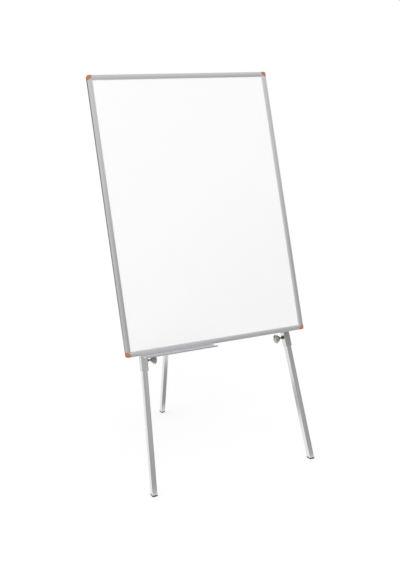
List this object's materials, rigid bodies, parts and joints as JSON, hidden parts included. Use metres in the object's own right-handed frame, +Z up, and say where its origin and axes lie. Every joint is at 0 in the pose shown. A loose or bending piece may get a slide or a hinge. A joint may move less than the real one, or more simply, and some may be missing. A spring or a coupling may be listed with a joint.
{
  "type": "whiteboard easel",
  "caption": "Tall whiteboard in a silver frame with orange corners, on telescopic tripod legs with clamp knobs, a folding rear leg and a sliding pen tray",
  "frame": {"origin": "on the floor, under the middle of the whole easel's box", "axes": "+Z up, +X to the right as the viewer faces the board, the board faces -Y"},
  "size_m": [0.7, 0.8754, 1.4666],
  "materials": {
    "writing_surface": "gloss",
    "panel_core": "matte",
    "galvanised_back": "satin",
    "anodised_frame": "satin",
    "anodised_tray": "satin",
    "anodised_tube": "satin",
    "anodised_leg": "satin",
    "sleeve_metal": "satin",
    "orange_plastic": "gloss",
    "knob_plastic": "satin",
    "black_plastic": "matte",
    "foot_rubber": "matte",
    "dark_steel": "satin",
    "zinc_steel": "satin",
    "white_nylon": "satin"
  },
  "bodies": {
    "board": {"writing_sheet": "writing_surface", "board_core": "panel_core", "back_sheet": "galvanised_back", "top_rail": "anodised_frame", "bottom_rail": "anodised_frame", "left_rail": "anodised_frame", "right_rail": "anodised_frame", "cap_bottom_left": "orange_plastic", "cap_bottom_right": "orange_plastic", "cap_top_left": "orange_plastic", "cap_top_right": "orange_plastic", "corner_screws": "zinc_steel", "front_sleeve_rivets": "zinc_steel", "left_upper_saddle": "black_plastic", "left_lower_saddle": "black_plastic", "right_upper_saddle": "black_plastic", "right_lower_saddle": "black_plastic", "saddle_screws": "zinc_steel", "cross_bar": "anodised_tube", "left_bar_connector": "black_plastic", "right_bar_connector": "black_plastic", "bar_screws": "zinc_steel", "hinge_bracket": "zinc_steel", "hinge_rivets": "zinc_steel", "hinge_pin": "zinc_steel", "hinge_nut": "zinc_steel", "hinge_washers": "white_nylon", "left_outer_tube": "anodised_tube", "left_tube_plug": "black_plastic", "left_clamp_sleeve": "sleeve_metal", "left_clamp_collar": "dark_steel", "right_outer_tube": "anodised_tube", "right_tube_plug": "black_plastic", "right_clamp_sleeve": "sleeve_metal", "right_clamp_collar": "dark_steel"},
    "pen_tray": {"pen_tray": "anodised_tray"},
    "rear_tube": {"rear_outer_tube": "anodised_tube", "rear_tube_plug": "black_plastic", "rear_clamp_sleeve": "sleeve_metal", "rear_clamp_collar": "dark_steel", "rear_sleeve_rivet": "zinc_steel"},
    "left_pad": {"left_pressure_pad": "white_nylon"},
    "left_knob": {"left_clamp_screw": "dark_steel", "left_clamp_knob": "knob_plastic"},
    "left_leg": {"left_inner_leg": "anodised_leg", "left_leg_bush": "black_plastic", "left_foot": "foot_rubber"},
    "right_pad": {"right_pressure_pad": "white_nylon"},
    "right_knob": {"right_clamp_screw": "dark_steel", "right_clamp_knob": "knob_plastic"},
    "right_leg": {"right_inner_leg": "anodised_leg", "right_leg_bush": "black_plastic", "right_foot": "foot_rubber"},
    "rear_pad": {"rear_pressure_pad": "white_nylon"},
    "rear_knob": {"rear_clamp_screw": "dark_steel", "rear_clamp_knob": "knob_plastic"},
    "rear_leg": {"rear_inner_leg": "anodised_leg", "rear_leg_bush": "black_plastic", "rear_foot": "foot_rubber"}
  },
  "joints": [
    {"name": "tray_slide", "type": "slide", "parent": "board", "child": "pen_tray", "axis": [1, 0, 0], "range_m": [-0.035, 0.361]},
    {"name": "rear_leg_swing", "type": "hinge", "parent": "board", "child": "rear_tube", "pos_m": [0, -0.13782, 1.32304], "axis": [-1, 0, 0], "range_deg": [0, 34]},
    {"name": "left_leg_slide", "type": "slide", "parent": "board", "child": "left_leg", "axis": [0.0637, 0.1904, 0.9796], "range_m": [-0.172, 0.416]},
    {"name": "left_pad_slide", "type": "slide", "parent": "board", "child": "left_pad", "axis": [0.998, -0.0121, -0.0625], "range_m": [0, 0.002]},
    {"name": "left_knob_turn", "type": "hinge", "parent": "left_pad", "child": "left_knob", "pos_m": [-0.25633, -0.33557, 0.45821], "axis": [0.998, -0.0121, -0.0625], "range_deg": [0, 720]},
    {"name": "right_leg_slide", "type": "slide", "parent": "board", "child": "right_leg", "axis": [-0.0637, 0.1904, 0.9796], "range_m": [-0.172, 0.416]},
    {"name": "right_pad_slide", "type": "slide", "parent": "board", "child": "right_pad", "axis": [-0.998, -0.0121, -0.0625], "range_m": [0, 0.002]},
    {"name": "right_knob_turn", "type": "hinge", "parent": "right_pad", "child": "right_knob", "pos_m": [0.25633, -0.33557, 0.45821], "axis": [-0.998, -0.0121, -0.0625], "range_deg": [0, 720]},
    {"name": "rear_leg_slide", "type": "slide", "parent": "rear_tube", "child": "rear_leg", "axis": [0, -0.3907, 0.9205], "range_m": [-0.089, 0.499]},
    {"name": "rear_pad_slide", "type": "slide", "parent": "rear_tube", "child": "rear_pad", "axis": [1, 0, 0], "range_m": [0, 0.002]},
    {"name": "rear_knob_turn", "type": "hinge", "parent": "rear_pad", "child": "rear_knob", "pos_m": [0.027, 0.20797, 0.50839], "axis": [1, 0, 0], "range_deg": [0, 720]}
  ],
  "couplings": [
    {"joint": "left_pad_slide", "follows": "left_knob_turn", "m_per_rad": 0.00015915},
    {"joint": "right_pad_slide", "follows": "right_knob_turn", "m_per_rad": 0.00015915},
    {"joint": "rear_pad_slide", "follows": "rear_knob_turn", "m_per_rad": 0.00015915}
  ]
}
